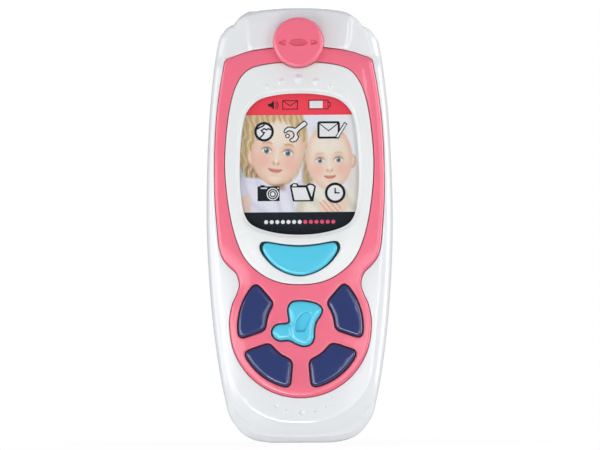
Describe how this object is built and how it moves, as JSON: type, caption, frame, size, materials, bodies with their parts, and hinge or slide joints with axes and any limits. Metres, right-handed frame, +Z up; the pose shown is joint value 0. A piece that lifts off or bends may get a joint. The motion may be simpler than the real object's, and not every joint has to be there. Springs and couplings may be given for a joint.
{
  "type": "toy cell phone",
  "caption": "Upright toddler's toy phone: two-part white case, pink face frame with a neck, oval bezel and screen, sprung buttons and a round click dial.",
  "frame": {"origin": "middle of the bottom end's footprint, half way through the depth, with the phone standing upright", "axes": "+Z up along the phone, +X to the right seen from the front, the face looks along -Y and the flat back along +Y"},
  "size_m": [0.0666, 0.03, 0.156],
  "materials": {
    "white_plastic": "gloss",
    "bezel_plastic": "gloss",
    "pink_plastic": "gloss",
    "turquoise_plastic": "gloss",
    "navy_plastic": "gloss",
    "clear_plastic": "gloss",
    "printed_card": "satin",
    "inner_plastic": "matte",
    "grey_rubber": "matte",
    "board": "satin",
    "black_resin": "satin",
    "capacitor_sleeve": "satin",
    "speaker_metal": "satin",
    "speaker_paper": "matte",
    "cell_sleeve": "satin",
    "spring_steel": "satin",
    "steel": "satin",
    "wire_jacket": "satin"
  },
  "bodies": {
    "case": {"front_shell": "white_plastic", "rear_shell": "white_plastic", "face_frame": "pink_plastic", "screen_bezel": "bezel_plastic", "screen_window": "clear_plastic", "picture_card": "printed_card", "click_spring": "inner_plastic", "keypad_membrane": "grey_rubber", "circuit_board": "board", "board_screws": "steel", "chip_blob": "black_resin", "capacitor": "capacitor_sleeve", "speaker_frame": "speaker_metal", "speaker_cone": "speaker_paper", "speaker_magnet": "steel", "battery_a": "cell_sleeve", "battery_b": "cell_sleeve", "battery_springs": "spring_steel", "battery_plates": "spring_steel", "case_screws": "steel", "switch_body": "speaker_metal", "speaker_wires": "wire_jacket", "battery_wires": "wire_jacket"},
    "dial": {"dial_knob": "pink_plastic", "click_wheel": "inner_plastic", "dial_screw": "steel"},
    "menu": {"menu_button": "turquoise_plastic"},
    "note": {"note_button": "turquoise_plastic"},
    "arc_upper_left": {"arc_button_upper_left": "navy_plastic"},
    "arc_upper_right": {"arc_button_upper_right": "navy_plastic"},
    "arc_lower_left": {"arc_button_lower_left": "navy_plastic"},
    "arc_lower_right": {"arc_button_lower_right": "navy_plastic"},
    "door": {"battery_door": "white_plastic", "door_screw": "steel"},
    "switch": {"switch_slider": "black_resin"}
  },
  "joints": [
    {"name": "dial_turn", "type": "hinge", "parent": "case", "child": "dial", "pos_m": [0, 0, 0.1431], "axis": [0, -1, 0], "continuous": true},
    {"name": "menu_press", "type": "slide", "parent": "case", "child": "menu", "axis": [0, 1, 0], "range_m": [0, 0.0012], "stiffness_N_per_m": 300, "springref_m": -0.001, "deforming": ["keypad_membrane"]},
    {"name": "note_press", "type": "slide", "parent": "case", "child": "note", "axis": [0, 1, 0], "range_m": [0, 0.0012], "stiffness_N_per_m": 300, "springref_m": -0.001, "deforming": ["keypad_membrane"]},
    {"name": "arc_upper_left_press", "type": "slide", "parent": "case", "child": "arc_upper_left", "axis": [0, 1, 0], "range_m": [0, 0.0012], "stiffness_N_per_m": 300, "springref_m": -0.001, "deforming": ["keypad_membrane"]},
    {"name": "arc_upper_right_press", "type": "slide", "parent": "case", "child": "arc_upper_right", "axis": [0, 1, 0], "range_m": [0, 0.0012], "stiffness_N_per_m": 300, "springref_m": -0.001, "deforming": ["keypad_membrane"]},
    {"name": "arc_lower_left_press", "type": "slide", "parent": "case", "child": "arc_lower_left", "axis": [0, 1, 0], "range_m": [0, 0.0012], "stiffness_N_per_m": 300, "springref_m": -0.001, "deforming": ["keypad_membrane"]},
    {"name": "arc_lower_right_press", "type": "slide", "parent": "case", "child": "arc_lower_right", "axis": [0, 1, 0], "range_m": [0, 0.0012], "stiffness_N_per_m": 300, "springref_m": -0.001, "deforming": ["keypad_membrane"]},
    {"name": "battery_door_off", "type": "slide", "parent": "case", "child": "door", "axis": [0, 1, 0], "range_m": [0, 0.03]},
    {"name": "power_switch", "type": "slide", "parent": "case", "child": "switch", "axis": [1, 0, 0], "range_m": [0, 0.0044]}
  ]
}
